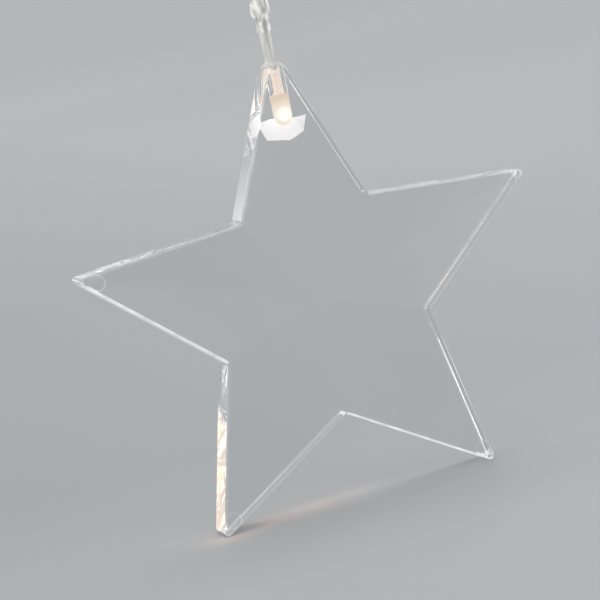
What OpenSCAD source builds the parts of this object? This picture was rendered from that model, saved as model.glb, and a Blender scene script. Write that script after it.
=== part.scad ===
// Clear five-pointed star pendant, lit by a small round lamp in its cut-off top tip.
// It hangs on a twisted two-core cord from a two-pin plug. Millimetres, +Z up.
// The origin is the middle of the plug's mating face, and the star hangs straight below it.

/* [Star] */
// Radius from the centre to a sharp tip, on the flat faces
star_r = 42; // [36:0.5:60]
// Radius of the inner corners as a share of the tip radius
star_waist = 0.452; // [0.42:0.002:0.5]
// Thickness
star_t = 5; // [4.6:0.1:7]
// Radius that rounds the tips
tip_round = 0.7; // [0.3:0.05:1.2]
// Radius that rounds the inner corners
notch_round = 1; // [0.4:0.1:2]
// Height above the centre at which the top tip is cut off
top_cut = 38.6; // [37.5:0.1:38.8]
// Diameter of the round marks in the front face, near the tips
mark_d = 2.6; // [2:0.1:2.8]

/* [Lamp] */
// Diameter of the lamp
lamp_d = 3; // [2.8:0.05:3]
// Length of the lamp from its base to the end of its dome
lamp_len = 5.2; // [4.8:0.1:5.6]
// Depth of the lamp's base below the top of the star
lamp_depth = 4.6; // [4.4:0.1:5]
// Gap all round between the lamp's collar and the bore
bore_gap = 0.05; // [0.03:0.01:0.06]

/* [Cord] */
// Diameter of one insulated core
core_d = 1.35; // [1.2:0.05:1.4]
// Diameter of the metal strand in a core
wire_d = 0.5; // [0.4:0.05:0.6]
// Free length of the twisted cord
cord_len = 40; // [40:1:40]
// Length of the shrink collar round the start of the twist
collar_len = 6; // [4:0.5:8]

/* [Plug] */
// Diameter of the plug's shell
shell_d = 8; // [7.5:0.1:9]
// Length of the plug's shell
shell_len = 14; // [13:0.5:16]
// Length of the soft strain relief
relief_len = 9; // [8:0.5:12]
// Diameter of the coupling nut
nut_d = 12.4; // [11.6:0.1:14]
// Diameter of a contact pin
pin_d = 1; // [0.8:0.1:1.2]
// Distance between the two contact pins
pin_pitch = 2.6; // [2.4:0.1:3]

/* [Hidden] */
$fn = 64;

// Heights, from the mating face down
nose_len = 3;
collar_drop = 0.9;
core_drop = 7;
leg_len = 2.4;
shell_top = -nose_len;
shell_base = shell_top - shell_len;
relief_base = shell_base - relief_len;
cord_base = relief_base - cord_len;
twist_base = cord_base - collar_drop;
rock_gap = 0.1;
rock_z = twist_base - rock_gap - core_d / 2;
mouth_z = cord_base - core_drop;
star_z = mouth_z - top_cut;
lamp_base = mouth_z - lamp_depth;
lamp_tip = lamp_base - lamp_len;
joint_z = lamp_base + leg_len;

// Star
arms = 5;
half_arm = 180 / arms;
tip_half = atan(star_waist * sin(half_arm) / (1 - star_waist * cos(half_arm)));
lamp_rim = 0.05;
bore_r = lamp_d / 2 + lamp_rim + bore_gap;
bore_end = 0.3;
arc_steps = 6;
mark_margin = 0.5;
mark_place = star_r - mark_d / 2 / sin(tip_half) - mark_margin;
mark_depth = 0.12;

// Lamp
lamp_r = lamp_d / 2;
leg = wire_d / 2;
core_gap = 0.02;
leg_y = core_d / 2 + core_gap;
cup_z = lamp_tip + 2.5;
cup_h = 0.9;
cup_y = 0.12;
cup_r = 0.55;
cup_mouth_r = 0.46;
cup_floor_r = 0.3;
cup_depth = 0.55;
frame_w = 0.4;
anode_z = cup_z + 0.4;
chip = [0.34, 0.34, 0.14];
bond_r = 0.03;

// Cord: two cores laid against each other and twisted, as one round tube
cord_r = core_d;
cord_sides = 8;
cord_slack = 0.1;
cord_route = [
    [0, 0, -66], [0, 0, -63], [0, 0, -60], [0.1, 0.05, -57], [0.25, 0.1, -54], [0.4, 0.15, -51],
    [0.5, 0.2, -48], [0.5, 0.2, -45], [0.45, 0.2, -42], [0.35, 0.15, -39], [0.25, 0.1, -36],
    [0.1, 0.05, -33], [0, 0, -30], [0, 0, -28], [0, 0, -26]
];

// Plug
shell_r = shell_d / 2;
shell_wall = 0.9;
insert_r = shell_r - shell_wall;
insert_len = 5;
lip_r = shell_r + 0.6;
lip_len = 1.5;
nut_back = 1.8;
nut_play = 0.15;
nut_fit = 0.08;
nut_bore_r = 5;
nut_end = 5;
pin_out = 4;
pin_in = 2;
pin_base = -insert_len - pin_in;
stem_r = pin_d / 2 + 0.3;
swing_room = 42;
mouth_r = cord_r / cos(swing_room) + 0.05;
key_w = 1;
key_out = 0.4;

// Height at which the insulation of the plug's two cores ends
strip_z = shell_base + 3;
resistor_len = 3.2;
resistor_r = 0.8;
resistor_base = pin_base - resistor_len - 1;

// ---- shapes used more than once ----

// The rounded corner at b, between the straight sides from a and to c, as points of an arc
function unit(v) = v / norm(v);
function corner(a, b, c, r) =
    let (
        u = unit(a - b),
        w = unit(c - b),
        half = acos(u * w) / 2,
        middle = b + unit(u + w) * r / sin(half),
        from = b + u * r / tan(half) - middle,
        to = b + w * r / tan(half) - middle,
        start = atan2(from[1], from[0]),
        sweep = atan2(from[0] * to[1] - from[1] * to[0], from * to)
    )
    [for (i = [0:arc_steps]) let (a = start + sweep * i / arc_steps) middle + r * [cos(a), sin(a)]];

// The star's sharp corners, tips and inner corners in turn, clockwise from the top
function star_corner(k) =
    let (r = k % 2 == 0 ? star_r : star_r * star_waist)
    r * [sin(half_arm * k), cos(half_arm * k)];

// The star's outline, with its tips and inner corners rounded
function star_outline() = [
    for (k = [0:2 * arms - 1])
        each corner(
            star_corner(k + 2 * arms - 1), star_corner(k), star_corner(k + 1),
            k % 2 == 0 ? tip_round : notch_round
        )
];

// Solid star with straight sides, centred on its thickness
module star_blank() {
    rotate([90, 0, 0]) linear_extrude(star_t, center = true) polygon(star_outline());
}

// A round bar or hole from height z0 up to z1
module bar(r, z0, z1, y = 0) {
    translate([0, y, z0]) cylinder(r = r, h = z1 - z0);
}

// A slot outline with round ends along Y
module slot_shape(r, reach) {
    square([2 * r, 2 * reach], center = true);
    for (s = [-1, 1]) translate([0, s * reach]) circle(r = r);
}

// ---- star ----

module star() {
    color([0.86, 0.9, 0.92, 0.35])
    difference() {
        translate([0, 0, star_z]) star_blank();
        translate([-star_r, -star_t, mouth_z]) cube([2 * star_r, 2 * star_t, star_r]);
        bar(bore_r, lamp_tip - bore_end, mouth_z + 1);
        for (a = [2 * half_arm:2 * half_arm:359])
            translate([mark_place * sin(a), mark_depth - star_t / 2, star_z + mark_place * cos(a)])
                rotate([90, 0, 0]) cylinder(d = mark_d, h = 1);
    }
}

// White patch on the rear face, behind the end of the lamp
module reflector_patch() {
    patch_t = 0.15;
    color([0.95, 0.95, 0.95])
    translate([0, star_t / 2 + patch_t, lamp_tip + 1])
    rotate([90, 0, 0])
    linear_extrude(patch_t)
    polygon([
        [-3.9, -0.1], [-1.4, 0.2], [2.4, -0.3], [4.5, -0.2], [3.5, -2.7], [2.1, -3.3], [0.8, -3.7],
        [-2.7, -3], [-3.4, -1]
    ]);
}

// Clear glue round the two cores at the mouth of the bore
glue_h = 0.8;
module mouth_glue() {
    color([0.9, 0.92, 0.9, 0.5])
    difference() {
        translate([0, 0, mouth_z]) rotate_extrude()
            polygon([[0, 0], [1.75, 0], [1.65, 0.4], [1.5, glue_h], [0, glue_h]]);
        for (s = [-1, 1]) bar(core_d / 2, mouth_z - 1, mouth_z + 2, s * leg_y);
    }
}

// ---- lamp ----

module lamp_legs_space() {
    for (s = [-1, 1]) bar(leg, cup_z + cup_h, lamp_base + 1, s * leg_y);
}

module lamp_lens() {
    collar_h = 1.3;
    color([0.98, 0.95, 0.86, 0.5])
    difference() {
        union() {
            translate([0, 0, lamp_tip + lamp_r]) rotate_extrude() intersection() {
                circle(r = lamp_r);
                translate([0, -lamp_r]) square([lamp_r, lamp_r]);
            }
            bar(lamp_r, lamp_tip + lamp_r, lamp_base);
            bar(lamp_r + lamp_rim, lamp_base - collar_h, lamp_base);
        }
        lamp_legs_space();
        cathode_head(true);
        anode_head();
        bond_route();
    }
}

// Cup that holds the chip, its mouth towards the dome, and the arm that carries it
module cathode_head(solid_cup) {
    difference() {
        bar(cup_r, cup_z, cup_z + cup_h, cup_y);
        if (!solid_cup) cup_space();
    }
    translate([-frame_w / 2, cup_y, cup_z + cup_h - 0.3]) cube([frame_w, leg_y + leg - cup_y, 0.6]);
}

module cup_space() {
    translate([0, cup_y, cup_z - 0.01]) cylinder(r1 = cup_mouth_r, r2 = cup_floor_r, h = cup_depth + 0.01);
}

module anode_head() {
    translate([-frame_w / 2, -leg_y - 0.3, anode_z]) cube([frame_w, 0.36, cup_h - 0.1]);
}

module lamp_cathode() {
    color([0.82, 0.8, 0.75])
    {
        cathode_head(false);
        bar(leg, cup_z + cup_h, joint_z, leg_y);
    }
}

module lamp_anode() {
    color([0.82, 0.8, 0.75])
    {
        anode_head();
        bar(leg, cup_z + cup_h, joint_z, -leg_y);
    }
}

module chip_block() {
    translate([0, cup_y, cup_z + cup_depth - chip[2] / 2]) cube(chip, center = true);
}

module lamp_chip() {
    color([0.95, 0.85, 0.4])
    chip_block();
}

module lamp_phosphor() {
    color([1, 0.85, 0.35])
    difference() {
        translate([0, cup_y, cup_z]) cylinder(r1 = cup_mouth_r - 0.003, r2 = cup_floor_r, h = cup_depth);
        chip_block();
        bond_route();
    }
}

// Fine wire from the chip out of the cup and across to the anode
module bond_route() {
    chip_face = cup_z + cup_depth - chip[2];
    anode_y = -leg_y - 0.1;
    top = cup_z - 0.25;
    bar(bond_r, top, chip_face, cup_y);
    translate([0, cup_y, top]) sphere(r = bond_r);
    translate([0, cup_y, top]) rotate([90, 0, 0]) cylinder(r = bond_r, h = cup_y - anode_y);
    bar(bond_r, top, anode_z, anode_y);
    translate([0, anode_y, top]) sphere(r = bond_r);
}

module lamp_bond_wire() {
    color([0.9, 0.75, 0.3])
    bond_route();
}

// Shrink sleeve over the legs and the soldered joints
module lamp_sleeve() {
    sleeve_len = 3.9;
    sleeve_r = 1.05;
    sleeve_wall = 0.15;
    sleeve_reach = 0.5;
    color([0.95, 0.93, 0.88, 0.5])
    translate([0, 0, lamp_base]) linear_extrude(sleeve_len) difference() {
        slot_shape(sleeve_r, sleeve_reach);
        slot_shape(sleeve_r - sleeve_wall, sleeve_reach);
    }
}

module solder(y) {
    color([0.75, 0.76, 0.78])
    translate([0, y, joint_z]) rotate_extrude() polygon([
        [leg, -0.6], [leg + 0.1, -0.55], [leg + 0.2, 0], [leg + 0.1, 0.45], [leg, 0.5]
    ]);
}

module cathode_solder() { solder(leg_y); }
module anode_solder() { solder(-leg_y); }

// ---- the two cores between the lamp and the collar ----

core_end = joint_z + 0.6;

module core(y) {
    color([0.92, 0.93, 0.92, 0.5])
    difference() {
        union() {
            bar(core_d / 2, core_end, rock_z, y);
            translate([0, y, rock_z]) sphere(d = core_d);
        }
        bar(wire_d / 2, core_end - 1, rock_z, y);
    }
}

module wire(y) {
    color([0.8, 0.62, 0.45])
    bar(wire_d / 2, joint_z, rock_z, y);
}

module core_positive() { core(-leg_y); }
module core_negative() { core(leg_y); }
module wire_positive() { wire(-leg_y); }
module wire_negative() { wire(leg_y); }

// ---- cord ----

// Clear shrink collar that grips the start of the twist
module twist_collar() {
    collar_wall = 0.25;
    color([0.93, 0.94, 0.93, 0.5])
    difference() {
        bar(cord_r + collar_wall, twist_base, twist_base + collar_len);
        bar(cord_r + 0.05, cord_base, twist_base + collar_len + 1);
    }
}

// Tube swept along the route, with a round upper end on the pivot of the swing
module cord() {
    rings = concat(
        [for (p = cord_route) [p, cord_r]],
        [for (a = [30, 60, 87]) [[0, 0, relief_base + cord_r * sin(a)], cord_r * cos(a)]]
    );
    count = len(rings);
    points = [
        for (ring = rings, k = [0:cord_sides - 1])
            ring[0] + ring[1] * [cos(360 * k / cord_sides), sin(360 * k / cord_sides), 0]
    ];
    faces = concat(
        [[for (k = [0:cord_sides - 1]) k]],
        [for (i = [0:count - 2], k = [0:cord_sides - 1])
            [i * cord_sides + (k + 1) % cord_sides, i * cord_sides + k,
             (i + 1) * cord_sides + k, (i + 1) * cord_sides + (k + 1) % cord_sides]],
        [[for (k = [cord_sides - 1:-1:0]) (count - 1) * cord_sides + k]]
    );
    color([0.9, 0.92, 0.91, 0.5])
    polyhedron(points = points, faces = faces);
}

// ---- plug ----

// Soft tapered relief with a bell mouth, bored for the two cores
module strain_relief() {
    color([0.88, 0.9, 0.89])
    translate([0, 0, relief_base]) difference() {
        rotate_extrude() polygon([
            [0, 0], [2.5, 0], [2.6, 0.4], [2.6, 1], [2.3, 1.3], [2.3, 2], [2.75, 2.3], [2.75, 3], [2.45, 3.3],
            [2.45, 4], [2.9, 4.3], [2.9, 5], [2.6, 5.3], [2.6, 6], [3.1, 6.6], [3.3, relief_len],
            [0, relief_len]
        ]);
        translate([0, 0, -0.01]) cylinder(r1 = mouth_r, r2 = cord_r + cord_slack, h = 1.2);
        bar(cord_r + cord_slack, -1, relief_len + 1);
    }
}

module plug_shell() {
    color([0.9, 0.92, 0.93])
    difference() {
        union() {
            bar(shell_r, shell_base, shell_top);
            bar(lip_r, shell_top - lip_len, shell_top);
            for (a = [0:60:300]) rotate(a) translate([shell_r, 0, shell_base + 1.5])
                cylinder(r = 0.35, h = 5);
        }
        bar(cord_r + cord_slack, shell_base - 1, shell_base + 2);
        bar(insert_r, shell_base + 1, shell_top + 1);
    }
}

// Pin carrier with a key rib
module plug_insert() {
    color([0.94, 0.94, 0.92])
    difference() {
        union() {
            bar(insert_r, -insert_len, 0);
            translate([insert_r - 0.2, -key_w / 2, shell_top]) cube([key_out + 0.2, key_w, nose_len]);
        }
        for (s = [-1, 1]) bar(stem_r, -insert_len - 1, 1, s * pin_pitch / 2);
    }
}

module plug_pin(y) {
    color([0.85, 0.7, 0.35])
    {
        bar(stem_r, pin_base, 0, y);
        bar(pin_d / 2, 0, pin_out - pin_d / 2, y);
        translate([0, y, pin_out - pin_d / 2]) sphere(d = pin_d);
    }
}

module plug_pin_positive() { plug_pin(-pin_pitch / 2); }
module plug_pin_negative() { plug_pin(pin_pitch / 2); }

module plug_core(y) {
    color([0.92, 0.93, 0.92, 0.5])
    difference() {
        bar(core_d / 2, relief_base + cord_r + cord_slack, strip_z, y);
        bar(wire_d / 2, relief_base, strip_z + 1, y);
    }
}

module plug_core_positive() { plug_core(-leg_y); }
module plug_core_negative() { plug_core(leg_y); }

// Bare strand from a core, bent out to meet what stands on the pin's line
module plug_strand(y, end_y, end_z) {
    turn_z = strip_z + 0.6;
    side = sign(end_y);
    color([0.8, 0.62, 0.45])
    {
        bar(wire_d / 2, relief_base + cord_r + cord_slack, turn_z, y);
        translate([0, y, turn_z]) sphere(d = wire_d);
        translate([0, y, turn_z]) rotate([-90 * side, 0, 0]) cylinder(d = wire_d, h = abs(end_y - y));
        translate([0, end_y, turn_z]) sphere(d = wire_d);
        bar(wire_d / 2, turn_z, end_z, end_y);
    }
}

module plug_wire_positive() { plug_strand(-leg_y, -pin_pitch / 2, resistor_base - 0.6); }
module plug_wire_negative() { plug_strand(leg_y, pin_pitch / 2, pin_base); }

// Series resistor on the positive pin's line
module plug_resistor() {
    color([0.35, 0.6, 0.75])
    translate([0, -pin_pitch / 2, 0]) {
        bar(wire_d / 2, resistor_base - 0.6, pin_base);
        translate([0, 0, resistor_base]) rotate_extrude() polygon([
            [0, 0], [resistor_r - 0.15, 0], [resistor_r, 0.2], [resistor_r, 0.8], [resistor_r - 0.12, 1],
            [resistor_r - 0.12, resistor_len - 1], [resistor_r, resistor_len - 0.8],
            [resistor_r, resistor_len - 0.2], [resistor_r - 0.15, resistor_len], [0, resistor_len]
        ]);
    }
}

// Soft ring round the carrier, against the end of the shell
module plug_seal() {
    ring = 0.55;
    color([0.85, 0.85, 0.83])
    difference() {
        translate([0, 0, shell_top + ring]) rotate_extrude() translate([insert_r + ring, 0]) circle(r = ring);
        translate([insert_r - 1, -key_w / 2 - 0.1, shell_top - 1])
            cube([key_out + 1.1, key_w + 0.2, nose_len + 1]);
    }
}

// Nut that is held by the shell's lip and turns freely on the shell
module coupling_nut() {
    back_z = shell_top - lip_len - nut_play - nut_back;
    color([0.9, 0.92, 0.93])
    difference() {
        union() {
            bar(nut_d / 2 - 0.4, back_z, nut_end);
            for (a = [0:15:345]) rotate(a) translate([nut_d / 2 - 0.55, 0, back_z + 0.8])
                cylinder(r = 0.5, h = nut_end - back_z - 1.6);
        }
        bar(shell_r + nut_fit, back_z - 1, nut_end + 1);
        bar(nut_bore_r, back_z + nut_back, nut_end + 1);
        for (i = [0:3]) translate([0, 0, shell_top + 1.5 + 1.5 * i]) rotate_extrude()
            polygon([[nut_bore_r - 0.1, -0.5], [nut_bore_r + 0.35, 0], [nut_bore_r - 0.1, 0.5]]);
    }
}

star();
reflector_patch();
lamp_lens();
lamp_cathode();
lamp_anode();
lamp_chip();
lamp_phosphor();
lamp_bond_wire();
lamp_sleeve();
cathode_solder();
anode_solder();
core_positive();
core_negative();
wire_positive();
wire_negative();
mouth_glue();
twist_collar();
cord();
strain_relief();
plug_shell();
plug_insert();
plug_pin_positive();
plug_pin_negative();
plug_core_positive();
plug_core_negative();
plug_wire_positive();
plug_wire_negative();
plug_resistor();
plug_seal();
coupling_nut();
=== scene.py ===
"""Looks of a clear star light pendant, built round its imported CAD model. Lengths are in metres."""

import math
import random

import bmesh
import bpy
from mathutils import Matrix, Vector


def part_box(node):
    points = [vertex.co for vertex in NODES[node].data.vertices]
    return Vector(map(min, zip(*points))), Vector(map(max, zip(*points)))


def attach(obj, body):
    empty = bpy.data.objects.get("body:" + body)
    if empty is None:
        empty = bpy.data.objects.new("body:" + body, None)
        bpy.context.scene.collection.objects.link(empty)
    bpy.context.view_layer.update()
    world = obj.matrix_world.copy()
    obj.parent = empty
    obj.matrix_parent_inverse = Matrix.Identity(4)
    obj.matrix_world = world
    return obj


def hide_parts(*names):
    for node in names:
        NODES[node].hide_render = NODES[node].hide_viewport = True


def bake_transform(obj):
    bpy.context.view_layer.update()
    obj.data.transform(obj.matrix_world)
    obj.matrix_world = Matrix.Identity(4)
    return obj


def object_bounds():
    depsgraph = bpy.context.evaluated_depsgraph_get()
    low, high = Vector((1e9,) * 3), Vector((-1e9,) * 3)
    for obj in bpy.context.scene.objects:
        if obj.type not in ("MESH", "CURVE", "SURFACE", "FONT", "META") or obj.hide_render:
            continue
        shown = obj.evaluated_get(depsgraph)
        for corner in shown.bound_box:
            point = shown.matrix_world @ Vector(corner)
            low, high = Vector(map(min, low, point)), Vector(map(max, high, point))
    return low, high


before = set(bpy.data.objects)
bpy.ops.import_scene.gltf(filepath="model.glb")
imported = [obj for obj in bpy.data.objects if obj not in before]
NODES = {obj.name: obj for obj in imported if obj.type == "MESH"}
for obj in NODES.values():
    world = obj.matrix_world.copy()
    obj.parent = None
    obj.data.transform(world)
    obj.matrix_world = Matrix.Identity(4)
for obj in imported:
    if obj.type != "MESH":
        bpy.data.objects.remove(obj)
cad_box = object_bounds()

MM = 0.001

# ---- sizes, from the frame where the CAD model gives them ----

STAR_LOW, STAR_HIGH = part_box("star")
LAMP_LOW, LAMP_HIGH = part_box("lamp_lens")
COLLAR_LOW, COLLAR_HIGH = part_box("twist_collar")
CORE_LOW, CORE_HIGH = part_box("core_positive")
WIRE_LOW, WIRE_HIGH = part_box("wire_positive")
GLUE_LOW, GLUE_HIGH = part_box("mouth_glue")

MOUTH_Z = STAR_HIGH.z
STAR_T = STAR_HIGH.y - STAR_LOW.y
STAR_R = 42 * MM
STAR_WAIST = 0.452
TOP_CUT = 38.6 * MM
STAR_Z = MOUTH_Z - TOP_CUT
TIP_ROUND = 0.7 * MM
NOTCH_ROUND = 1 * MM
EDGE_ROUND = 0.38 * MM
ARMS = 5
HALF_ARM = math.pi / ARMS
BORE_R = 1.6 * MM
SNUG = 0.02 * MM
MOUTH_ROUND = 0.12 * MM
MARK_R = 1.3 * MM
MARK_DEPTH = 0.12 * MM
MARK_MARGIN = 0.5 * MM
LAMP_R = 1.5 * MM
CORE_R = (CORE_HIGH.x - CORE_LOW.x) / 2
CORE_Y = -(CORE_HIGH.y + CORE_LOW.y) / 2
WIRE_R = (WIRE_HIGH.x - WIRE_LOW.x) / 2
STRAND_LAY = 6 * MM
COLLAR_LIP = 0.55 * MM
COLLAR_FIT = 0.05 * MM
COLLAR_WALL = 0.2 * MM
CREASE = math.radians(35)
WELD = 1e-7

# The cord's route, from the collar up to the plug
ROUTE = [
    (0, 0, -0.066), (0, 0, -0.063), (0, 0, -0.060), (0.0001, 0.00005, -0.057), (0.00025, 0.0001, -0.054),
    (0.0004, 0.00015, -0.051), (0.0005, 0.0002, -0.048), (0.0005, 0.0002, -0.045), (0.00045, 0.0002, -0.042),
    (0.00035, 0.00015, -0.039), (0.00025, 0.0001, -0.036), (0.0001, 0.00005, -0.033), (0, 0, -0.030),
    (0, 0, -0.028), (0, 0, -0.026), (0, 0, -0.0248),
]
TWIST_PITCH = 11 * MM
TWIST_START = ROUTE[0][2]

# ---- camera, at the photograph's angle ----

AZIMUTH = math.radians(19.5)
ELEVATION = math.radians(9.0)
ROLL = math.radians(11.5)
DISTANCE = 0.3897
FRAMING = (3.0 * MM, 0.05 * MM)
LENS = 144
SENSOR = 36


def make_camera():
    """The camera looks past the star's centre, a little to its left, and is rolled clockwise."""
    ahead = Vector((
        math.sin(AZIMUTH) * math.cos(ELEVATION),
        math.cos(AZIMUTH) * math.cos(ELEVATION),
        -math.sin(ELEVATION),
    ))
    level = Vector((math.cos(AZIMUTH), -math.sin(AZIMUTH), 0))
    above = level.cross(ahead)
    right = level * math.cos(ROLL) - above * math.sin(ROLL)
    up = right.cross(ahead)
    data = bpy.data.cameras.new("camera")
    data.lens = LENS
    data.sensor_width = SENSOR
    data.clip_start = 0.01
    data.clip_end = 100
    camera = bpy.data.objects.new("camera", data)
    bpy.context.scene.collection.objects.link(camera)
    place = Vector((0, 0, STAR_Z)) - ahead * DISTANCE - right * FRAMING[0] - up * FRAMING[1]
    camera.matrix_world = Matrix((
        (right.x, up.x, -ahead.x, place.x),
        (right.y, up.y, -ahead.y, place.y),
        (right.z, up.z, -ahead.z, place.z),
        (0, 0, 0, 1),
    ))
    bpy.context.scene.camera = camera


make_camera()

# ---- mesh helpers ----


def add_object(name, bm, materials):
    """A new object from a bmesh, smooth except where faces meet at more than the crease angle."""
    bmesh.ops.recalc_face_normals(bm, faces=bm.faces[:])
    mesh = bpy.data.meshes.new(name)
    bm.to_mesh(mesh)
    bm.free()
    for m in materials:
        mesh.materials.append(m)
    made = bpy.data.objects.new(name, mesh)
    bpy.context.scene.collection.objects.link(made)
    for p in mesh.polygons:
        p.use_smooth = True
    mesh.set_sharp_from_angle(angle=CREASE)
    return made


def dense_path(points, step):
    """Points about a step apart on a smooth curve through the given ones."""
    p = [Vector(q) for q in points]
    p = [2 * p[0] - p[1]] + p + [2 * p[-1] - p[-2]]
    out = []
    for a, b, c, d in zip(p, p[1:], p[2:], p[3:]):
        parts = max(1, round((c - b).length / step))
        for i in range(parts):
            t = i / parts
            out.append(0.5 * (
                2 * b + (c - a) * t + (2 * a - 5 * b + 4 * c - d) * t * t + (3 * b - a - 3 * c + d) * t ** 3
            ))
    return out + [p[-2]]


def bridge(bm, low, high):
    """Faces between two rings of the same number of points."""
    n = len(low)
    for k in range(n):
        bm.faces.new((low[k], low[(k + 1) % n], high[(k + 1) % n], high[k]))


def sweep(bm, path, section, cap=True):
    """Joined rings round a path, each with the section's points (across, forward) for that ring's index."""
    rings = []
    side = Vector((1, 0, 0))
    for i, p in enumerate(path):
        along = (path[min(i + 1, len(path) - 1)] - path[max(i - 1, 0)]).normalized()
        side = (side - along * side.dot(along)).normalized()
        other = along.cross(side)
        rings.append([bm.verts.new(p + side * u + other * v) for u, v in section(i)])
    for low, high in zip(rings, rings[1:]):
        bridge(bm, low, high)
    if cap:
        bm.faces.new(rings[0][::-1])
        bm.faces.new(rings[-1])
    return rings


def round_edges(bm, edges, radius, steps):
    """Rounds those edges off."""
    bmesh.ops.bevel(
        bm, geom=edges, offset=radius, segments=steps, profile=0.5, affect="EDGES", clamp_overlap=True
    )


def round_section(radius, sides):
    """A section that is a circle all the way."""
    ring = [
        (radius * math.cos(2 * math.pi * k / sides), radius * math.sin(2 * math.pi * k / sides))
        for k in range(sides)
    ]
    return lambda i: ring


def lathe(bm, profile, centre=(0, 0), sides=48):
    """A surface turned round a vertical axis from (radius, height) points, closed if they end on the axis."""
    rings = []
    for r, z in profile:
        if r < 1e-9:
            rings.append([bm.verts.new((centre[0], centre[1], z))])
        else:
            rings.append([
                bm.verts.new((
                    centre[0] + r * math.cos(2 * math.pi * k / sides),
                    centre[1] + r * math.sin(2 * math.pi * k / sides),
                    z,
                ))
                for k in range(sides)
            ])
    for low, high in zip(rings, rings[1:]):
        for k in range(sides):
            a, b = low[k % len(low)], low[(k + 1) % len(low)]
            c, d = high[(k + 1) % len(high)], high[k % len(high)]
            bm.faces.new(list(dict.fromkeys((a, b, c, d))))


# ---- material helpers ----


def new_material(name, colour, roughness, **settings):
    """A material with a Principled shader. Settings are its other inputs by name, with _ for a space."""
    m = bpy.data.materials.new(name)
    m.use_nodes = True
    shader = m.node_tree.nodes["Principled BSDF"]
    shader.inputs["Base Color"].default_value = (*colour, 1)
    shader.inputs["Roughness"].default_value = roughness
    for key, value in settings.items():
        socket = shader.inputs[key.replace("_", " ")]
        socket.default_value = (*value, 1) if isinstance(value, tuple) else value
    return m


def add_node(m, kind, **inputs):
    """A node with those inputs set."""
    node = m.node_tree.nodes.new(kind)
    for key, value in inputs.items():
        node.inputs[key.replace("_", " ")].default_value = value
    return node


def position(m):
    """The separate X, Y and Z of a point on the piece, in its own frame."""
    place = add_node(m, "ShaderNodeTexCoord")
    split = add_node(m, "ShaderNodeSeparateXYZ")
    m.node_tree.links.new(place.outputs["Object"], split.inputs["Vector"])
    return split.outputs


def noise(m, scale, detail=3.0, distortion=0.0):
    """A noise pattern fixed to the piece."""
    place = add_node(m, "ShaderNodeTexCoord")
    texture = add_node(m, "ShaderNodeTexNoise", Scale=scale, Detail=detail, Distortion=distortion)
    m.node_tree.links.new(place.outputs["Object"], texture.inputs["Vector"])
    return texture.outputs["Fac"]


def streaks(m, scale, detail=3.0, stretch=0.15):
    """A noise pattern drawn out along the piece's height."""
    place = add_node(m, "ShaderNodeTexCoord")
    squeeze = add_node(m, "ShaderNodeVectorMath")
    squeeze.operation = "MULTIPLY"
    squeeze.inputs[1].default_value = (1, 1, stretch)
    texture = add_node(m, "ShaderNodeTexNoise", Scale=scale, Detail=detail, Distortion=0.4)
    m.node_tree.links.new(place.outputs["Object"], squeeze.inputs[0])
    m.node_tree.links.new(squeeze.outputs["Vector"], texture.inputs["Vector"])
    return texture.outputs["Fac"]


def spread(m, pattern, low, high, start=0.3, end=0.7):
    """The pattern's values, taken from low to high."""
    node = add_node(m, "ShaderNodeMapRange", From_Min=start, From_Max=end, To_Min=low, To_Max=high)
    m.node_tree.links.new(pattern, node.inputs["Value"])
    return node.outputs["Result"]


def link(m, output, socket):
    """Joins an output to the Principled shader's socket of that name."""
    m.node_tree.links.new(output, m.node_tree.nodes["Principled BSDF"].inputs[socket])


def bump(m, pattern, height, strength=1.0, under=None):
    """Bumps of that height in metres, on top of other bumps if there are any."""
    node = add_node(m, "ShaderNodeBump", Strength=strength, Distance=height)
    m.node_tree.links.new(pattern, node.inputs["Height"])
    if under:
        m.node_tree.links.new(under, node.inputs["Normal"])
    return node.outputs["Normal"]


def stepped(m, pattern, stops, blend="LINEAR"):
    """The colour for a value from 0 to 1, through (value, colour) stops."""
    ramp = add_node(m, "ShaderNodeValToRGB")
    ramp.color_ramp.interpolation = blend
    while len(ramp.color_ramp.elements) < len(stops):
        ramp.color_ramp.elements.new(0.5)
    for element, (where, colour) in zip(ramp.color_ramp.elements, stops):
        element.position = where
        element.color = (*colour, 1)
    m.node_tree.links.new(pattern, ramp.inputs["Fac"])
    return ramp.outputs["Color"]


def two_tone(m, pattern, dark, light, start=0.3, end=0.7, socket="Base Color"):
    """The base colour, or another one, goes from dark to light with the pattern."""
    link(m, stepped(m, pattern, ((start, dark), (end, light))), socket)


def add_up(m, kind, one, other):
    """The sum of two values or colours, by a math node of that kind."""
    total = add_node(m, kind)
    m.node_tree.links.new(one, total.inputs[0])
    m.node_tree.links.new(other, total.inputs[1])
    return total.outputs[0]


# ---- materials ----

# Heights over which the painted light on two of the star's walls fades
LEG_LIT = (STAR_Z - 16 * MM, STAR_Z - 14.6 * MM)
ARM_LIT = (STAR_Z + 15.5 * MM, STAR_Z + 27 * MM)
# The brightest height in the lamp, and how far from it its colour settles
GLOW_Z = LAMP_LOW.z + 1.9 * MM
GLOW_REACH = 4 * MM


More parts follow.
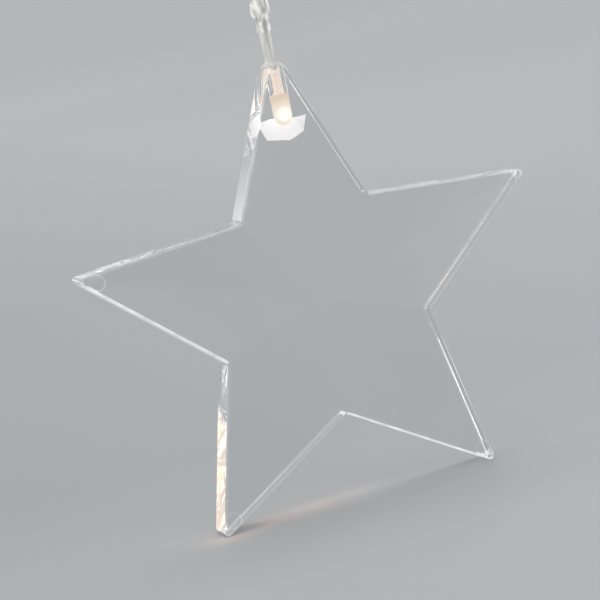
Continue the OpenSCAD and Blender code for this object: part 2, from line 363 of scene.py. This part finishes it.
def clear_star_material():
    """Clear moulded acrylic: faint waves, hairline scuffs, and painted light: glow and highlights emitted
    from its rims, marks and two walls, in place of the lamp's light leaving at its edges and the studio
    lights' reflections.
    """
    m = new_material(
        "clear_acrylic", (0.925, 0.93, 0.936), 0.0, IOR=1.49, Transmission_Weight=1.0, Emission_Strength=1.0
    )
    waves = bump(m, noise(m, 90, 1.0), 0.02 * MM, 0.5)
    link(m, waves, "Normal")
    scuffs = spread(m, noise(m, 2600, 4.0, 1.5), 0.0, 0.035, 0.55, 0.8)
    link(m, scuffs, "Roughness")
    # Painted glow and highlights on the rims and marks: emitted light, as strong as the rim_light attribute
    # says
    rim = lit_part(m, "rim_light", (0.42, 0.44, 0.47), spread(m, noise(m, 420, 3.0), 0.45, 1.15))
    height = position(m)["Z"]
    # Painted warm glow on the lower left leg's outer wall, and painted light on the top arm's left wall, each
    # fading with height
    leg = lit_part(m, "leg_light", (0.39, 0.27, 0.165), spread(m, height, 1.0, 0.0, *LEG_LIT))
    arm = lit_part(m, "arm_light", (0.22, 0.23, 0.245), spread(m, height, 1.15, 0.1, *ARM_LIT))
    walls = outside_only(m, add_up(m, "ShaderNodeVectorMath", leg, arm))
    link(m, add_up(m, "ShaderNodeVectorMath", walls, rim), "Emission Color")
    return m


def outside_only(m, light):
    """That light on the outside of the piece, and none on the inside of its walls."""
    side = add_node(m, "ShaderNodeNewGeometry")
    shown = add_node(m, "ShaderNodeVectorMath")
    shown.operation = "SCALE"
    m.node_tree.links.new(light, shown.inputs[0])
    m.node_tree.links.new(spread(m, side.outputs["Backfacing"], 1.0, 0.0, 0.0, 1.0), shown.inputs["Scale"])
    return shown.outputs["Vector"]


def lit_part(m, attribute, colour, pattern):
    """That colour of painted light, where the attribute says, as strong as the pattern."""
    mask = add_node(m, "ShaderNodeAttribute")
    mask.attribute_name = attribute
    amount = add_node(m, "ShaderNodeMath")
    amount.operation = "MULTIPLY"
    m.node_tree.links.new(mask.outputs["Fac"], amount.inputs[0])
    m.node_tree.links.new(pattern, amount.inputs[1])
    light = add_node(m, "ShaderNodeVectorMath")
    light.operation = "SCALE"
    light.inputs[0].default_value = colour
    m.node_tree.links.new(amount.outputs["Value"], light.inputs["Scale"])
    return light.outputs["Vector"]


def clear_core_material():
    """Clear soft PVC insulation with a slight haze, and drawn streaks painted as a faint glow, the same all
    along its length.
    """
    m = new_material(
        "clear_pvc", (0.95, 0.945, 0.93), 0.08, IOR=1.53, Transmission_Weight=0.6, Emission_Strength=1.0
    )
    # Painted glow: the streaks are emitted light, not base colour
    two_tone(m, streaks(m, 1800), (0.0, 0.0, 0.0), (0.15, 0.147, 0.138), 0.35, 0.62, "Emission Color")
    link(m, bump(m, noise(m, 900, 2.0), 0.012 * MM, 0.6), "Normal")
    link(m, spread(m, noise(m, 1500, 3.0), 0.04, 0.14), "Roughness")
    return m


def shrink_material():
    """Shrink tube: clear, wrinkled, with milky streaks painted as a faint glow."""
    m = new_material(
        "clear_shrink", (0.96, 0.957, 0.945), 0.08, IOR=1.45, Transmission_Weight=0.7, Emission_Strength=1.0
    )
    # Painted glow: the milky streaks are emitted light, not base colour
    two_tone(m, streaks(m, 1500, 4.0, 0.3), (0.0, 0.0, 0.0), (0.22, 0.217, 0.21), 0.4, 0.62, "Emission Color")
    fine = bump(m, noise(m, 5000, 3.0), 0.006 * MM, 0.6)
    link(m, bump(m, noise(m, 1400, 2.0, 1.0), 0.05 * MM, 0.9, fine), "Normal")
    link(m, spread(m, noise(m, 2000, 3.0), 0.04, 0.2), "Roughness")
    return m


def sleeve_material():
    """Milky sleeve over the lamp's legs, with a painted warm glow standing in for the lamp's light."""
    m = new_material(
        "lit_sleeve", (0.9, 0.86, 0.83), 0.3, IOR=1.45, Transmission_Weight=0.35,
        Emission_Color=(1.0, 0.86, 0.74), Emission_Strength=0.34,
    )
    link(m, bump(m, noise(m, 1800, 2.0, 1.0), 0.04 * MM, 0.7), "Normal")
    link(m, spread(m, noise(m, 2500, 3.0), 0.2, 0.45), "Roughness")
    return m


def glue_material():
    """Clear hardened glue with faint ripples and a faint painted glow."""
    m = new_material(
        "clear_glue", (0.96, 0.93, 0.91), 0.06, IOR=1.5, Transmission_Weight=0.5,
        Emission_Color=(1.0, 0.94, 0.9), Emission_Strength=0.1,
    )
    link(m, bump(m, noise(m, 1600, 2.0, 0.6), 0.03 * MM, 0.6), "Normal")
    link(m, spread(m, noise(m, 3000, 3.0), 0.01, 0.08), "Roughness")
    return m


def lamp_body_material():
    """Lit epoxy: white-hot round the chip, cream further out, tan at the collar."""
    m = new_material("lit_epoxy", (0.40, 0.37, 0.33), 0.15, IOR=1.5, Emission_Strength=1.0)
    place = add_node(m, "ShaderNodeTexCoord")
    flat = add_node(m, "ShaderNodeVectorMath")
    flat.operation = "MULTIPLY"
    flat.inputs[1].default_value = (1, 0, 1)
    away = add_node(m, "ShaderNodeVectorMath")
    away.operation = "DISTANCE"
    away.inputs[1].default_value = (0, 0, GLOW_Z)
    m.node_tree.links.new(place.outputs["Object"], flat.inputs[0])
    m.node_tree.links.new(flat.outputs["Vector"], away.inputs[0])
    stops = (
        (0.0, (1.15, 1.12, 1.05)), (0.2, (1.05, 1.0, 0.9)), (0.36, (0.80, 0.71, 0.59)),
        (0.55, (0.70, 0.58, 0.46)), (0.7, (0.62, 0.49, 0.38)), (1.0, (0.60, 0.48, 0.38)),
    )
    link(m, stepped(m, spread(m, away.outputs["Value"], 0.0, 1.0, 0.0, GLOW_REACH), stops), "Emission Color")
    link(m, spread(m, noise(m, 2200, 2.0), 0.08, 0.2), "Roughness")
    return m


def white_patch_material():
    """White label film, slightly mottled, with a painted glow standing in for the lamp's light on it."""
    m = new_material(
        "white_film", (0.93, 0.94, 0.95), 0.5, Emission_Color=(1.0, 0.985, 0.98), Emission_Strength=0.6
    )
    two_tone(m, noise(m, 1500, 4.0), (0.88, 0.89, 0.91), (0.97, 0.975, 0.98))
    link(m, bump(m, noise(m, 6000, 3.0), 0.01 * MM, 0.5), "Normal")
    return m


def metal_material(name, dark, light, roughness, grain):
    """Drawn or turned metal with a fine grain and patchy tarnish."""
    m = new_material(name, light, roughness, Metallic=1.0)
    two_tone(m, noise(m, grain, 4.0), dark, light)
    link(m, spread(m, noise(m, grain * 2, 3.0), roughness * 0.7, roughness * 1.5), "Roughness")
    link(m, bump(m, noise(m, grain * 3, 2.0), 0.004 * MM, 0.5), "Normal")
    return m


def plastic_material(name, dark, light, roughness, grain, **settings):
    """Moulded plastic or rubber with a fine texture and slight colour drift."""
    m = new_material(name, light, roughness, **settings)
    two_tone(m, noise(m, grain, 3.0), dark, light)
    link(m, spread(m, noise(m, grain * 2, 3.0), roughness * 0.75, roughness * 1.3), "Roughness")
    link(m, bump(m, noise(m, grain * 6, 2.0), 0.006 * MM, 0.5), "Normal")
    return m


def resistor_material():
    """Lacquered resistor body with plain colour bands."""
    m = new_material("resistor_lacquer", (0.25, 0.5, 0.68), 0.3)
    low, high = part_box("plug_resistor")
    body, tin = (0.22, 0.45, 0.62), (0.72, 0.72, 0.7)
    brown, black, gold = (0.45, 0.12, 0.05), (0.03, 0.03, 0.03), (0.75, 0.5, 0.12)
    bands = (
        (0.0, tin), (0.13, body), (0.24, brown), (0.30, body), (0.38, black), (0.44, body),
        (0.52, brown), (0.58, body), (0.68, gold), (0.74, body), (0.8, tin),
    )
    height = spread(m, position(m)["Z"], 0.0, 1.0, low.z, high.z)
    link(m, stepped(m, height, bands, "CONSTANT"), "Base Color")
    link(m, spread(m, noise(m, 3000, 3.0), 0.22, 0.4), "Roughness")
    return m


CLEAR_STAR = clear_star_material()
CLEAR_CORE = clear_core_material()
SHRINK = shrink_material()
SLEEVE = sleeve_material()
GLUE = glue_material()
LAMP_BODY = lamp_body_material()
WHITE_PATCH = white_patch_material()
STRAND = metal_material("tinned_strand", (0.50, 0.49, 0.47), (0.90, 0.89, 0.86), 0.35, 4000)
TIN = metal_material("tinned_frame", (0.6, 0.6, 0.6), (0.86, 0.86, 0.85), 0.25, 3000)
SOLDER = metal_material("solder", (0.5, 0.5, 0.52), (0.78, 0.78, 0.8), 0.35, 5000)
GOLD = metal_material("gold_wire", (0.8, 0.55, 0.2), (1.0, 0.78, 0.35), 0.2, 9000)
PIN_METAL = metal_material("plated_pin", (0.72, 0.55, 0.25), (0.93, 0.78, 0.45), 0.22, 2500)
PLUG_CLEAR = plastic_material(
    "plug_clear", (0.9, 0.92, 0.93), (0.97, 0.98, 0.99), 0.09, 700, IOR=1.58, Transmission_Weight=0.92
)
RELIEF = plastic_material(
    "relief_soft", (0.86, 0.87, 0.87), (0.94, 0.945, 0.94), 0.22, 900, IOR=1.5, Transmission_Weight=0.7
)
CARRIER = plastic_material("carrier_white", (0.84, 0.84, 0.82), (0.93, 0.93, 0.91), 0.4, 1200)
SEAL = plastic_material("seal_rubber", (0.66, 0.66, 0.64), (0.76, 0.76, 0.74), 0.55, 1800)
DIE = plastic_material("lamp_die", (0.85, 0.75, 0.2), (1.0, 0.9, 0.35), 0.3, 9000)
PHOSPHOR = plastic_material(
    "lit_phosphor", (0.9, 0.75, 0.25), (1.0, 0.85, 0.35), 0.6, 9000,
    Emission_Color=(1.0, 0.86, 0.6), Emission_Strength=6.0,
)
RESISTOR = resistor_material()

CAD_FINISH = {
    "lamp_lens": (LAMP_BODY, "lamp_body"),
    "lamp_cathode": (TIN, "lamp_frame"),
    "lamp_anode": (TIN, "lamp_frame"),
    "lamp_chip": (DIE, "lamp_die"),
    "lamp_phosphor": (PHOSPHOR, "lit_phosphor"),
    "lamp_bond_wire": (GOLD, "bond_metal"),
    "lamp_sleeve": (SLEEVE, "shrink_clear"),
    "cathode_solder": (SOLDER, "solder_metal"),
    "anode_solder": (SOLDER, "solder_metal"),
    "core_positive": (CLEAR_CORE, "core_skin"),
    "core_negative": (CLEAR_CORE, "core_skin"),
    "strain_relief": (RELIEF, "relief_soft"),
    "plug_shell": (PLUG_CLEAR, "plug_clear"),
    "plug_insert": (CARRIER, "carrier_white"),
    "plug_pin_positive": (PIN_METAL, "pin_metal"),
    "plug_pin_negative": (PIN_METAL, "pin_metal"),
    "plug_core_positive": (CLEAR_CORE, "core_skin"),
    "plug_core_negative": (CLEAR_CORE, "core_skin"),
    "plug_wire_positive": (STRAND, "copper_strand"),
    "plug_wire_negative": (STRAND, "copper_strand"),
    "plug_resistor": (RESISTOR, "resistor_skin"),
    "plug_seal": (SEAL, "seal_rubber"),
    "coupling_nut": (PLUG_CLEAR, "plug_clear"),
}


def finish_cad_nodes():
    """Gives the CAD nodes that stay their materials."""
    for node, (m, slot) in CAD_FINISH.items():
        mesh = NODES[node].data
        mesh.materials.clear()
        mesh.materials.append(m)


finish_cad_nodes()

# ---- cord ----


def twist(z):
    """Angle of the line between the two cores, at that height."""
    return math.pi / 2 + 2 * math.pi * max(0.0, z - TWIST_START) / TWIST_PITCH


def core_paths(bottom):
    """The two cores' centre lines: straight below the twist, and wound round the route above it."""
    middle = [Vector((0, 0, z)) for z in (bottom, (bottom + TWIST_START) / 2)] + dense_path(ROUTE, 0.5 * MM)
    return [
        [p + sign * CORE_Y * Vector((math.cos(twist(p.z)), math.sin(twist(p.z)), 0)) for p in middle]
        for sign in (1, -1)
    ]


def strand_bundle(bm, path, radius):
    """Seven fine strands along a path: one in the middle and six wound round it."""
    fine = radius / 3
    run = [0.0]
    for a, b in zip(path, path[1:]):
        run.append(run[-1] + (b - a).length)
    sweep(bm, path, round_section(fine, 6))
    for k in range(6):
        wound = []
        for p, s in zip(path, run):
            a = math.radians(60 * k) + 2 * math.pi * s / STRAND_LAY
            wound.append(p + 2 * fine * Vector((math.cos(a), math.sin(a), 0)))
        sweep(bm, wound, round_section(fine, 6))


def make_cord():
    """Two clear cores twisted together, with their strands, up to the plug."""
    bm = bmesh.new()
    for path in core_paths(COLLAR_LOW.z + 0.1 * MM):
        sweep(bm, path, round_section(CORE_R, 20))
    cord = add_object("twisted_cord", bm, [CLEAR_CORE])
    bm = bmesh.new()
    for path in core_paths(WIRE_HIGH.z):
        strand_bundle(bm, path, WIRE_R)
    strands = add_object("cord_strands", bm, [STRAND])
    for piece in (cord, strands):
        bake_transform(piece)
    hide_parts("cord")
    return cord, strands


def twin_section(z, wall, sides=28):
    """The outline of a skin of that wall round the two cores, at that height."""
    angle = twist(z)
    ring = []
    for k in range(sides):
        a = 2 * math.pi * k / sides
        u = (CORE_R + wall) * math.cos(a) + math.copysign(CORE_Y, math.cos(a))
        v = (CORE_R + wall) * math.sin(a)
        ring.append((u * math.cos(angle) - v * math.sin(angle), u * math.sin(angle) + v * math.cos(angle)))
    return ring


def make_collar():
    """Shrink collar drawn down on the start of the twist, with a thick uneven lip."""
    rnd = random.Random(5)
    low, high = COLLAR_LOW.z - COLLAR_LIP, COLLAR_HIGH.z
    count = 40
    path = [Vector((0, 0, low + (high - low) * i / count)) for i in range(count + 1)]
    walls = [COLLAR_WALL + COLLAR_FIT * rnd.random() for _ in path]
    bm = bmesh.new()
    outer = sweep(bm, path, lambda i: twin_section(path[i].z, walls[i]), cap=False)
    inner = sweep(bm, path, lambda i: twin_section(path[i].z, COLLAR_FIT), cap=False)
    bridge(bm, outer[0], inner[0])
    bridge(bm, outer[-1], inner[-1])
    collar = add_object("shrink_collar", bm, [SHRINK])
    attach(collar, "collar")
    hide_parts("twist_collar")
    return collar


cord, cord_strands = make_cord()
collar = make_collar()

# ---- star ----

CORNER_STEPS = 12
RIM_STEPS = 4
CUT_SIZE = 20 * MM
# How strong the painted glow and highlights on the rims and walls are, edge by edge, clockwise from the right
# edge of the top arm
FRONT_RIM_LIGHT = (0.02, 0.5, 0.02, 0.03, 0.85, 0.02, 0.12, 0.85, 0.3, 0.25)
REAR_RIM_LIGHT = (0.05, 0.15, 0.2, 0.12, 0.7, 0.05, 0.2, 0.7, 0.15, 0.2)
WALL_LIGHT = (0, 0.12, 0, 0, 0.4, 0, 0, 0.4, 0.05, 0)
# Strength of the painted highlight on the ejector marks' rims
MARK_LIGHT = 0.36
# Which way the leg's wall and the arm's wall with painted light face, in the XZ plane, and how nearly a face
# has to
LEG_WALL_OUT = Vector((-0.985, 0.17))
ARM_WALL_OUT = Vector((-0.92, 0.38))
ALIGNED = 0.98
# A face of a straight wall is upright and larger than this, and a rim's face leans out at least this much
WALL_FACE = 20 * MM * MM
UPRIGHT = 0.9
LEAN = 0.15


def star_corner(k, out):
    """A sharp corner of the star's outline in the XZ plane, with its sides moved out by that much."""
    tip, notch = STAR_R, STAR_R * STAR_WAIST
    apart = math.sqrt(tip * tip + notch * notch - 2 * tip * notch * math.cos(HALF_ARM))
    side = tip * notch * math.sin(HALF_ARM) / apart
    r = (tip if k % 2 == 0 else notch) * (1 + out / side)
    return Vector((r * math.sin(HALF_ARM * k), r * math.cos(HALF_ARM * k)))


def rounded_corner(a, b, c, r):
    """Points of an arc of that radius at corner b."""
    u, w = (a - b).normalized(), (c - b).normalized()
    half = math.acos(u.dot(w)) / 2
    middle = b + (u + w).normalized() * r / math.sin(half)
    start = b + u * r / math.tan(half) - middle
    end = b + w * r / math.tan(half) - middle
    first = math.atan2(start.y, start.x)
    sweep_angle = math.atan2(start.x * end.y - start.y * end.x, start.dot(end))
    angles = [first + sweep_angle * i / CORNER_STEPS for i in range(CORNER_STEPS + 1)]
    return [middle + r * Vector((math.cos(a), math.sin(a))) for a in angles]


def star_outline(out):
    """The star's rounded outline, with its sides moved out by that much."""
    ring = []
    for k in range(2 * ARMS):
        r = TIP_ROUND if k % 2 == 0 else NOTCH_ROUND
        ring += rounded_corner(star_corner(k - 1, out), star_corner(k, out), star_corner(k + 1, out), r)
    return ring


def edge_profile():
    """(depth, outward shift) along the star's wall, from the front face's rounded rim to the rear face's."""
    rim = []
    for i in range(RIM_STEPS + 1):
        a = math.pi / 2 * i / RIM_STEPS
        rim.append((EDGE_ROUND * (1 - math.cos(a)) - STAR_T / 2, EDGE_ROUND * (math.sin(a) - 1)))
    return rim + [(-y, out) for y, out in reversed(rim)]


def make_star():
    """Moulded star with its cut-off tip, lamp bore and ejector marks."""
    bm = bmesh.new()
    rings = []
    for y, out in edge_profile():
        rings.append([bm.verts.new((p.x, y, STAR_Z + p.y)) for p in star_outline(out)])
    for low, high in zip(rings, rings[1:]):
        bridge(bm, low, high)
    for ring, y in ((rings[0], -STAR_T / 2), (rings[-1], STAR_T / 2)):
        middle = bm.verts.new((0, y, STAR_Z))
        for a, b in zip(ring, ring[1:] + ring[:1]):
            bm.faces.new((middle, a, b))
    blank = add_object("star_body", bm, [CLEAR_STAR])
    cut_away(blank, [star_top_cutter(), bore_cutter(), mark_cutter()])
    soften_mouth(blank)
    mark_lit_edges(blank)
    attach(blank, "pendant")
    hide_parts("star")


def star_top_cutter():
    """A block over the star's tip."""
    bm = bmesh.new()
    bmesh.ops.create_cube(bm, size=1)
    bmesh.ops.scale(bm, vec=(CUT_SIZE, CUT_SIZE, CUT_SIZE), verts=bm.verts[:])
    bmesh.ops.translate(bm, vec=(0, 0, MOUTH_Z + CUT_SIZE / 2), verts=bm.verts[:])
    return add_object("cut_top", bm, [])


def bore_cutter():
    """The lamp bore: snug on the lamp with a domed end, and wider above the lamp."""
    bm = bmesh.new()
    r = LAMP_R - SNUG
    dome = [
        (r * math.sin(math.radians(a)), LAMP_LOW.z + SNUG + r - r * math.cos(math.radians(a)))
        for a in range(0, 91, 10)
    ]
    top = MOUTH_Z + MM
    lathe(bm, dome + [(r, LAMP_HIGH.z - SNUG), (BORE_R, LAMP_HIGH.z), (BORE_R, top), (0, top)])
    return add_object("cut_bore", bm, [])


def mark_centres():
    """Centres of the four round ejector marks, in the XZ plane."""
    tip_half = math.atan(STAR_WAIST * math.sin(HALF_ARM) / (1 - STAR_WAIST * math.cos(HALF_ARM)))
    place = STAR_R - MARK_R / math.sin(tip_half) - MARK_MARGIN
    turns = [2 * HALF_ARM * k for k in range(1, ARMS)]
    return [Vector((place * math.sin(a), STAR_Z + place * math.cos(a))) for a in turns]


def mark_cutter():
    """Shallow round recesses for the ejector marks, in the front face."""
    bm = bmesh.new()
    sides = 40
    for centre in mark_centres():
        rings = []
        for r, y in ((MARK_R * 0.93, MARK_DEPTH), (MARK_R, MARK_DEPTH * 0.6), (MARK_R, -MM)):
            rings.append([
                bm.verts.new((
                    centre[0] + r * math.cos(2 * math.pi * j / sides),
                    y - STAR_T / 2,
                    centre[1] + r * math.sin(2 * math.pi * j / sides),
                ))
                for j in range(sides)
            ])
        for low, high in zip(rings, rings[1:]):
            bridge(bm, low, high)
        bm.faces.new(rings[0])
        bm.faces.new(rings[-1])
    return add_object("cut_marks", bm, [])


def cut_away(piece, cutters):
    """Subtracts the cutters from the piece for good, and removes them."""
    for cutter in cutters:
        modifier = piece.modifiers.new("cut", "BOOLEAN")
        modifier.object = cutter
        modifier.operation = "DIFFERENCE"
        modifier.solver = "EXACT"
    graph = bpy.context.evaluated_depsgraph_get()
    mesh = bpy.data.meshes.new_from_object(piece.evaluated_get(graph))
    piece.modifiers.clear()
    piece.data = mesh
    for cutter in cutters:
        bpy.data.objects.remove(cutter)


def soften_mouth(piece):
    """Rounds the rims of the cut-off tip a little, and keeps the star's flat faces flat."""
    sharp = math.radians(50)
    flat = 0.9999
    bm = bmesh.new()
    bm.from_mesh(piece.data)
    bmesh.ops.remove_doubles(bm, verts=bm.verts[:], dist=WELD)
    rims = [
        e for e in bm.edges
        if len(e.link_faces) == 2 and e.calc_face_angle() > sharp
        and all(abs(v.co.z - MOUTH_Z) < 1e-6 for v in e.verts)
    ]
    round_edges(bm, rims, MOUTH_ROUND, 3)
    bmesh.ops.recalc_face_normals(bm, faces=bm.faces[:])
    for f in bm.faces:
        f.smooth = max(abs(f.normal.y), abs(f.normal.z)) < flat
    bm.to_mesh(piece.data)
    bm.free()
    piece.data.set_sharp_from_angle(angle=CREASE)


def mark_lit_edges(piece):
    """Notes, face by face, how strong the painted glow and highlights are on each of the star's rims, marks
    and walls.
    """
    rims = piece.data.attributes.new("rim_light", "FLOAT", "FACE")
    legs = piece.data.attributes.new("leg_light", "FLOAT", "FACE")
    arms = piece.data.attributes.new("arm_light", "FLOAT", "FACE")
    marks = mark_centres()
    for face in piece.data.polygons:
        depth = STAR_T / 2 - abs(face.center.y)
        out = Vector((face.normal.x, face.normal.z))
        flat = Vector((face.center.x, face.center.z))
        turn = math.atan2(flat.x, flat.y - STAR_Z) % (2 * math.pi)
        edge = int(turn / HALF_ARM) % (2 * ARMS)
        if depth > EDGE_ROUND * 1.01:
            low = face.center.z < STAR_Z
            straight = out.length > UPRIGHT and face.area > WALL_FACE
            legs.data[face.index].value = 1.0 if low and out.dot(LEG_WALL_OUT) > ALIGNED else 0.0
            arms.data[face.index].value = 1.0 if not low and out.dot(ARM_WALL_OUT) > ALIGNED else 0.0
            rims.data[face.index].value = WALL_LIGHT[edge] if straight else 0.0
        elif out.length > LEAN and face.center.z < MOUTH_Z - EDGE_ROUND:
            strength = FRONT_RIM_LIGHT[edge] if face.center.y < 0 else REAR_RIM_LIGHT[edge]
            on_mark = min((flat - c).length for c in marks) < MARK_R * 1.02
            rims.data[face.index].value = MARK_LIGHT if on_mark else strength


make_star()

# ---- patch, glue and strands in the pendant ----

PATCH_ROUND = 0.25 * MM
# The glue bead's half profile, as parts of its reach and height
GLUE_PROFILE = (
    (0, 0), (0.55, 0), (0.97, 0), (1.0, 0.12), (0.97, 0.4), (0.88, 0.75), (0.74, 0.97), (0.62, 1.0), (0, 1.0),
)
# How far the bead's uneven top draws in and sags, as parts of its reach and height
GLUE_DRAW = 0.10
GLUE_SAG = 0.3


def make_patch():
    """White patch on the rear face, behind the lamp's tip, with soft corners."""
    low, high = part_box("reflector_patch")
    bm = bmesh.new()
    bm.from_mesh(NODES["reflector_patch"].data)
    bmesh.ops.remove_doubles(bm, verts=bm.verts[:], dist=WELD)
    uprights = [e for e in bm.edges if abs(e.verts[0].co.y - e.verts[1].co.y) > (high.y - low.y) / 2]
    round_edges(bm, uprights, PATCH_ROUND, 4)
    patch = add_object("white_patch", bm, [WHITE_PATCH])
    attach(patch, "pendant")
    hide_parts("reflector_patch")


def make_glue():
    """Uneven bead of clear glue round the cores at the bore's mouth."""
    rnd = random.Random(11)
    bm = bmesh.new()
    reach = (GLUE_HIGH.x - GLUE_LOW.x) / 2
    height = GLUE_HIGH.z - GLUE_LOW.z
    lathe(bm, [(reach * r, MOUTH_Z + height * z) for r, z in GLUE_PROFILE], sides=36)
    lumps = [rnd.uniform(-1, 1) for _ in range(6)]
    for v in bm.verts:
        a = math.atan2(v.co.y, v.co.x)
        wave = sum(h * math.sin((j + 2) * a + 1.7 * j) for j, h in enumerate(lumps)) / 6
        lift = (v.co.z - MOUTH_Z) / height
        flat = Vector((v.co.x, v.co.y, 0))
        v.co -= flat * GLUE_DRAW * (1 + wave) * lift
        v.co.z -= height * GLUE_SAG * (1 + wave) * lift * (flat.length / reach)
    bead = add_object("glue_bead", bm, [GLUE])
    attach(bead, "pendant")
    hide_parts("mouth_glue")


def make_pendant_strands():
    """The strands inside the two cores, from the soldered joints up to the collar."""
    for node, y in (("wire_positive", -CORE_Y), ("wire_negative", CORE_Y)):
        low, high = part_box(node)
        count = 16
        path = [Vector((0, y, low.z + (high.z - low.z) * i / count)) for i in range(count + 1)]
        bm = bmesh.new()
        strand_bundle(bm, path, WIRE_R)
        strands = add_object(node + "_strands", bm, [STRAND])
        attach(strands, "pendant")
        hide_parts(node)


make_patch()
make_glue()
make_pendant_strands()

# ---- stage ----

FLOOR_Z = cad_box[0].z - 0.02 * MM
FLOOR_SIZE = 30
# The warm light that leaves the star's base, as (x, y, power) of small lights this far over the floor
SPILLS = (
    (-23.5 * MM, -3 * MM, 0.00007), (-16 * MM, 0, 0.00006), (-8 * MM, MM, 0.00005), (0, 2 * MM, 0.00003),
)
SPILL_HEIGHT = 4 * MM
SPILL_SIZE = (6 * MM, 3 * MM)
SPILL_COLOUR = (1.0, 0.6, 0.45)
BOUNCES = 64


def make_floor():
    """A wide pale floor with painted light and shade: its tone rises slowly to the back and the right, and a
    little right in front.
    """
    bm = bmesh.new()
    bmesh.ops.create_grid(bm, x_segments=8, y_segments=8, size=FLOOR_SIZE)
    bmesh.ops.translate(bm, vec=(0, 0, FLOOR_Z), verts=bm.verts[:])
    m = new_material("pale_floor", (0.73, 0.76, 0.78), 0.55, Specular_IOR_Level=0.3)
    place = position(m)
    # Painted light and shade: the floor's colour is darkest just behind the star and lighter further back, to
    # the right and right in front
    near = spread(m, place["Y"], 0.52, 0.32, -0.03, 0.06)
    far = spread(m, place["Y"], 0.0, 0.63, 0.3, 1.7)
    side = spread(m, place["X"], -0.1, 0.22, -0.09, 0.2)
    tone = add_up(m, "ShaderNodeMath", add_up(m, "ShaderNodeMath", near, far), side)
    two_tone(m, tone, (0.455, 0.48, 0.494), (0.945, 0.96, 0.97), 0.0, 1.0)
    link(m, spread(m, noise(m, 8, 2.0), 0.5, 0.6), "Roughness")
    add_object("floor", bm, [m])


def add_area(name, place, target, size, power, colour):
    """A soft rectangular light at a place, facing a target."""
    data = bpy.data.lights.new(name, "AREA")
    data.shape = "RECTANGLE"
    data.size, data.size_y = size
    data.energy = power
    data.color = colour
    light = bpy.data.objects.new(name, data)
    light.location = place
    light.rotation_mode = "QUATERNION"
    light.rotation_quaternion = (Vector(target) - Vector(place)).to_track_quat("-Z", "Y")
    bpy.context.scene.collection.objects.link(light)
    return light


def make_light():
    """A pale studio: soft surroundings, a large light overhead, one at each side, and the star's glow."""
    world = bpy.data.worlds.new("studio")
    bpy.context.scene.world = world
    world.use_nodes = True
    sky = world.node_tree.nodes["Background"]
    sky.inputs["Color"].default_value = (0.95, 0.965, 0.98, 1)
    sky.inputs["Strength"].default_value = 0.50
    middle = (0, 0, STAR_Z)
    add_area("overhead", (0.1, 0.3, 0.9), middle, (0.9, 0.7), 1.6, (1.0, 0.985, 0.96))
    add_area("left", (-0.9, -0.1, 0.25), middle, (0.6, 0.8), 1.4, (1.0, 0.99, 0.97))
    add_area("right", (0.9, 0.2, 0.3), middle, (0.5, 0.6), 0.6, (0.97, 0.98, 1.0))
    for x, y, power in SPILLS:
        place = Vector((x, y, FLOOR_Z + SPILL_HEIGHT))
        spill = add_area("leg_spill", place, place - Vector((0, 0, 1)), SPILL_SIZE, power, SPILL_COLOUR)
        spill.visible_camera = False
        spill.visible_transmission = False
        spill.visible_glossy = False


make_floor()
make_light()
bpy.context.scene.view_settings.view_transform = "Standard"
bpy.context.scene.cycles.max_bounces = BOUNCES
bpy.context.scene.cycles.transmission_bounces = BOUNCES
bpy.context.scene.cycles.glossy_bounces = BOUNCES
